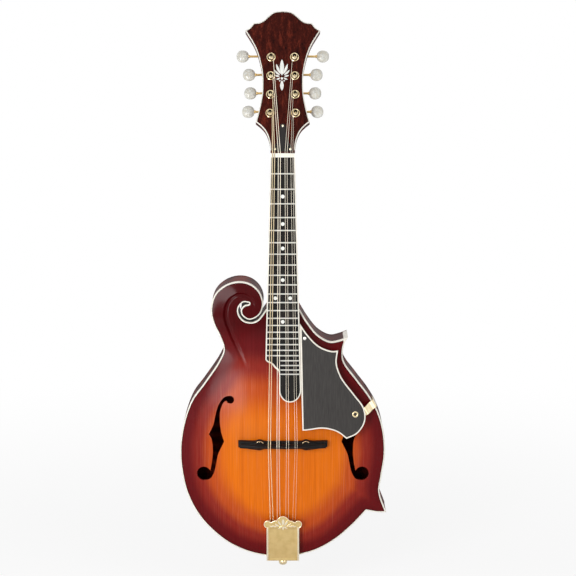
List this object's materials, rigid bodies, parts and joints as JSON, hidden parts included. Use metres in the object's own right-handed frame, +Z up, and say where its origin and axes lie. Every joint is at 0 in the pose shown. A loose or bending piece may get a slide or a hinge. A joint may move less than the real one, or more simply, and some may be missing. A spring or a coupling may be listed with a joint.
{
  "type": "mandolin",
  "caption": "Carved-body mandolin with scroll and points, arched plates, f-shaped sound holes, floating bridge, worm-geared tuners, raised guard and sliding tailpiece cover.",
  "frame": {"origin": "on the centre line of the fingerboard face, at the edge of the nut where the strings start to sound; a wall hanger holds the neck just above it", "axes": "+Z up the neck to the headstock, the face looks along -Y, +X to the treble side; the body's rim stands square to the XZ plane"},
  "size_m": [0.2571, 0.1085, 0.6935],
  "materials": {
    "sunburst_spruce": "glossy lacquer over an amber centre that darkens to red at the edges",
    "stained_maple": "glossy dark red stain over figured maple",
    "bare_wood": "unfinished, sanded",
    "cream_binding": "polished",
    "ebony": "oiled black, fine grain",
    "rosewood": "satin lacquer with dark streaks",
    "black_plastic": "satin, faint grain",
    "bone": "polished bone white",
    "gold": "gold plated, satin",
    "steel": "bright drawn steel",
    "bronze": "wound bronze",
    "pearloid": "pearl swirl, polished"
  },
  "bodies": {
    "instrument": {"soundboard": "sunburst_spruce", "top_binding": "cream_binding", "back_plate": "stained_maple", "rim": "stained_maple", "horn_tip_cap": "cream_binding", "head_block": "bare_wood", "tail_block": "bare_wood", "tone_bar_bass": "bare_wood", "tone_bar_treble": "bare_wood", "fingerboard": "ebony", "fingerboard_binding": "cream_binding", "nut": "bone", "neck": "stained_maple", "headstock_binding": "cream_binding", "headplate": "rosewood", "truss_rod_cover": "black_plastic", "tuner_plate_bass": "gold", "tuner_plate_treble": "gold", "bridge_base": "ebony", "tailpiece_base": "gold", "end_pin": "gold", "pickguard": "black_plastic", "pickguard_bracket": "gold", "string_1": "bronze", "string_2": "bronze", "string_3": "steel", "string_4": "steel", "string_5": "steel", "string_6": "steel", "string_7": "steel", "string_8": "steel"},
    "key_1": {"worm_shaft_1": "gold", "tuner_button_1": "pearloid"},
    "post_1": {"string_post_1": "gold"},
    "key_2": {"worm_shaft_2": "gold", "tuner_button_2": "pearloid"},
    "post_2": {"string_post_2": "gold"},
    "key_3": {"worm_shaft_3": "gold", "tuner_button_3": "pearloid"},
    "post_3": {"string_post_3": "gold"},
    "key_4": {"worm_shaft_4": "gold", "tuner_button_4": "pearloid"},
    "post_4": {"string_post_4": "gold"},
    "key_5": {"worm_shaft_5": "gold", "tuner_button_5": "pearloid"},
    "post_5": {"string_post_5": "gold"},
    "key_6": {"worm_shaft_6": "gold", "tuner_button_6": "pearloid"},
    "post_6": {"string_post_6": "gold"},
    "key_7": {"worm_shaft_7": "gold", "tuner_button_7": "pearloid"},
    "post_7": {"string_post_7": "gold"},
    "key_8": {"worm_shaft_8": "gold", "tuner_button_8": "pearloid"},
    "post_8": {"string_post_8": "gold"},
    "truss_rod": {"truss_rod": "steel"},
    "saddle": {"bridge_saddle": "ebony"},
    "wheel_bass": {"thumbwheel_bass": "gold"},
    "wheel_treble": {"thumbwheel_treble": "gold"},
    "tail_cover": {"tailpiece_cover": "gold"}
  },
  "joints": [
    {"name": "key_1_turn", "type": "hinge", "parent": "instrument", "child": "key_1", "pos_m": [-0.01549, 0.04099, 0.05162], "axis": [1, 0, 0], "continuous": true},
    {"name": "post_1_turn", "type": "hinge", "parent": "instrument", "child": "post_1", "pos_m": [-0.01549, 0.02032, 0.05178], "axis": [0, 0.9483, -0.3173], "continuous": true, "deforming": ["string_1"]},
    {"name": "key_2_turn", "type": "hinge", "parent": "instrument", "child": "key_2", "pos_m": [-0.01501, 0.04838, 0.07371], "axis": [1, 0, 0], "continuous": true},
    {"name": "post_2_turn", "type": "hinge", "parent": "instrument", "child": "post_2", "pos_m": [-0.01501, 0.02772, 0.07387], "axis": [0, 0.9483, -0.3173], "continuous": true, "deforming": ["string_2"]},
    {"name": "key_3_turn", "type": "hinge", "parent": "instrument", "child": "key_3", "pos_m": [-0.01461, 0.05578, 0.09581], "axis": [1, 0, 0], "continuous": true},
    {"name": "post_3_turn", "type": "hinge", "parent": "instrument", "child": "post_3", "pos_m": [-0.01461, 0.03511, 0.09597], "axis": [0, 0.9483, -0.3173], "continuous": true, "deforming": ["string_3"]},
    {"name": "key_4_turn", "type": "hinge", "parent": "instrument", "child": "key_4", "pos_m": [-0.01431, 0.06317, 0.11791], "axis": [1, 0, 0], "continuous": true},
    {"name": "post_4_turn", "type": "hinge", "parent": "instrument", "child": "post_4", "pos_m": [-0.01431, 0.0425, 0.11807], "axis": [0, 0.9483, -0.3173], "continuous": true, "deforming": ["string_4"]},
    {"name": "key_5_turn", "type": "hinge", "parent": "instrument", "child": "key_5", "pos_m": [0.01431, 0.06317, 0.11791], "axis": [1, 0, 0], "continuous": true},
    {"name": "post_5_turn", "type": "hinge", "parent": "instrument", "child": "post_5", "pos_m": [0.01431, 0.0425, 0.11807], "axis": [0, 0.9483, -0.3173], "continuous": true, "deforming": ["string_5"]},
    {"name": "key_6_turn", "type": "hinge", "parent": "instrument", "child": "key_6", "pos_m": [0.01461, 0.05578, 0.09581], "axis": [1, 0, 0], "continuous": true},
    {"name": "post_6_turn", "type": "hinge", "parent": "instrument", "child": "post_6", "pos_m": [0.01461, 0.03511, 0.09597], "axis": [0, 0.9483, -0.3173], "continuous": true, "deforming": ["string_6"]},
    {"name": "key_7_turn", "type": "hinge", "parent": "instrument", "child": "key_7", "pos_m": [0.01501, 0.04838, 0.07371], "axis": [1, 0, 0], "continuous": true},
    {"name": "post_7_turn", "type": "hinge", "parent": "instrument", "child": "post_7", "pos_m": [0.01501, 0.02772, 0.07387], "axis": [0, 0.9483, -0.3173], "continuous": true, "deforming": ["string_7"]},
    {"name": "key_8_turn", "type": "hinge", "parent": "instrument", "child": "key_8", "pos_m": [0.01549, 0.04099, 0.05162], "axis": [1, 0, 0], "continuous": true},
    {"name": "post_8_turn", "type": "hinge", "parent": "instrument", "child": "post_8", "pos_m": [0.01549, 0.02032, 0.05178], "axis": [0, 0.9483, -0.3173], "continuous": true, "deforming": ["string_8"]},
    {"name": "truss_rod_turn", "type": "hinge", "parent": "instrument", "child": "truss_rod", "pos_m": [0, 0.00997, -0.00078], "axis": [0, 0.0785, 0.9969], "range_deg": [-180, 180]},
    {"name": "saddle_lift", "type": "slide", "parent": "instrument", "child": "saddle", "axis": [0, -1, 0], "range_m": [-0.0006, 0.002]},
    {"name": "wheel_bass_turn", "type": "hinge", "parent": "saddle", "child": "wheel_bass", "pos_m": [-0.0285, -0.023, -0.353], "axis": [0, -1, 0], "range_deg": [-271, 901]},
    {"name": "wheel_treble_turn", "type": "hinge", "parent": "saddle", "child": "wheel_treble", "pos_m": [0.0285, -0.023, -0.353], "axis": [0, -1, 0], "range_deg": [-271, 901]},
    {"name": "cover_slide", "type": "slide", "parent": "instrument", "child": "tail_cover", "axis": [0, 0.0959, -0.9954], "range_m": [0, 0.045]}
  ],
  "couplings": [
    {"joint": "post_1_turn", "follows": "key_1_turn", "ratio": -0.071429},
    {"joint": "post_2_turn", "follows": "key_2_turn", "ratio": -0.071429},
    {"joint": "post_3_turn", "follows": "key_3_turn", "ratio": -0.071429},
    {"joint": "post_4_turn", "follows": "key_4_turn", "ratio": -0.071429},
    {"joint": "post_5_turn", "follows": "key_5_turn", "ratio": -0.071429},
    {"joint": "post_6_turn", "follows": "key_6_turn", "ratio": -0.071429},
    {"joint": "post_7_turn", "follows": "key_7_turn", "ratio": -0.071429},
    {"joint": "post_8_turn", "follows": "key_8_turn", "ratio": -0.071429},
    {"joint": "wheel_bass_turn", "follows": "saddle_lift", "rad_per_m": 7854},
    {"joint": "wheel_treble_turn", "follows": "saddle_lift", "rad_per_m": 7854}
  ]
}
